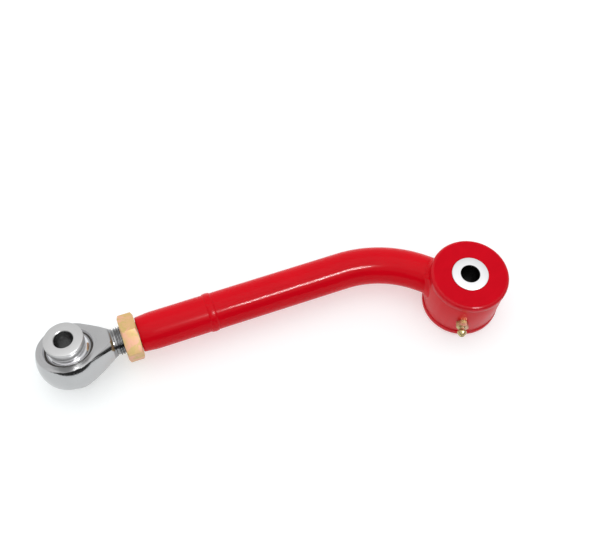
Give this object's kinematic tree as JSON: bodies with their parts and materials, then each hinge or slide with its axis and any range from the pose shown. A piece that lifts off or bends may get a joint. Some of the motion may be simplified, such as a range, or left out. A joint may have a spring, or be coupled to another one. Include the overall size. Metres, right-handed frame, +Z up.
{
  "type": "adjustable control arm",
  "caption": "Bent tubular control arm with a flanged greasable bushing at one end and a threaded, lockable spherical rod end with stepped bolt spacers at the other.",
  "frame": {"origin": "centre of the bounding box at its lowest face, where the arm rests", "axes": "+X along the straight tube from the rod end to the bushing; +Z up along the bushing's bolt axis; the tube bends towards -Y"},
  "size_m": [0.3142, 0.0959, 0.0457],
  "materials": {
    "red_powder_coat": "glossy powder coat",
    "red_polyurethane": "moulded, satin",
    "zinc_plated_steel": "faced, bright zinc",
    "yellow_zinc": "yellow zinc plating, slightly iridescent",
    "satin_steel": "satin plated, milled sides",
    "turned_steel": "fine turned, bright",
    "chromed_ball": "polished",
    "liner_fabric": "woven, dark",
    "black_rubber": "matt"
  },
  "bodies": {
    "arm": {"arm_tube": "red_powder_coat", "threaded_bung": "red_powder_coat", "bung_weld": "red_powder_coat", "bushing_shell": "red_powder_coat", "shell_weld": "red_powder_coat", "bushing_half_upper": "red_polyurethane", "bushing_half_lower": "red_polyurethane", "grease_fitting_body": "yellow_zinc", "grease_fitting_spring": "turned_steel"},
    "sleeve": {"bushing_sleeve": "zinc_plated_steel"},
    "check_ball": {"grease_fitting_ball": "turned_steel"},
    "jam_nut": {"jam_nut": "yellow_zinc"},
    "rod_end": {"rod_end_body": "satin_steel", "rod_end_race": "satin_steel"},
    "liner": {"rod_end_liner": "liner_fabric"},
    "ball": {"rod_end_ball": "chromed_ball"},
    "upper_spacer": {"spacer_upper": "turned_steel", "spacer_oring_upper": "black_rubber"},
    "lower_spacer": {"spacer_lower": "turned_steel", "spacer_oring_lower": "black_rubber"}
  },
  "joints": [
    {"name": "sleeve_turn", "type": "hinge", "parent": "arm", "child": "sleeve", "pos_m": [0.13061, -0.01543, 0.02284], "axis": [0, 0, 1], "continuous": true},
    {"name": "jam_nut_turn", "type": "hinge", "parent": "arm", "child": "jam_nut", "pos_m": [-0.09981, 0.02488, 0.02284], "axis": [1, 0, 0], "continuous": true},
    {"name": "rod_end_slide", "type": "slide", "parent": "arm", "child": "rod_end", "axis": [1, 0, 0], "range_m": [-0.012, 0.006]},
    {"name": "ball_swivel", "type": "hinge", "parent": "rod_end", "child": "liner", "pos_m": [-0.13431, 0.02488, 0.02284], "axis": [0, 0.309, 0.9511], "continuous": true},
    {"name": "ball_tilt", "type": "hinge", "parent": "liner", "child": "ball", "pos_m": [-0.13431, 0.02488, 0.02284], "axis": [0.9788, -0.1948, 0.0633], "range_deg": [-22.7, 3.3]},
    {"name": "upper_spacer_turn", "type": "hinge", "parent": "ball", "child": "upper_spacer", "pos_m": [-0.13431, 0.02488, 0.02284], "axis": [-0.0345, 0.1478, 0.9884], "continuous": true},
    {"name": "lower_spacer_turn", "type": "hinge", "parent": "ball", "child": "lower_spacer", "pos_m": [-0.13431, 0.02488, 0.02284], "axis": [-0.0345, 0.1478, 0.9884], "continuous": true},
    {"name": "check_ball_press", "type": "slide", "parent": "arm", "child": "check_ball", "axis": [0.4633, 0.8862, 0], "range_m": [0, 0.0008], "stiffness_N_per_m": 200, "springref_m": -0.0005, "deforming": ["grease_fitting_spring"]}
  ]
}
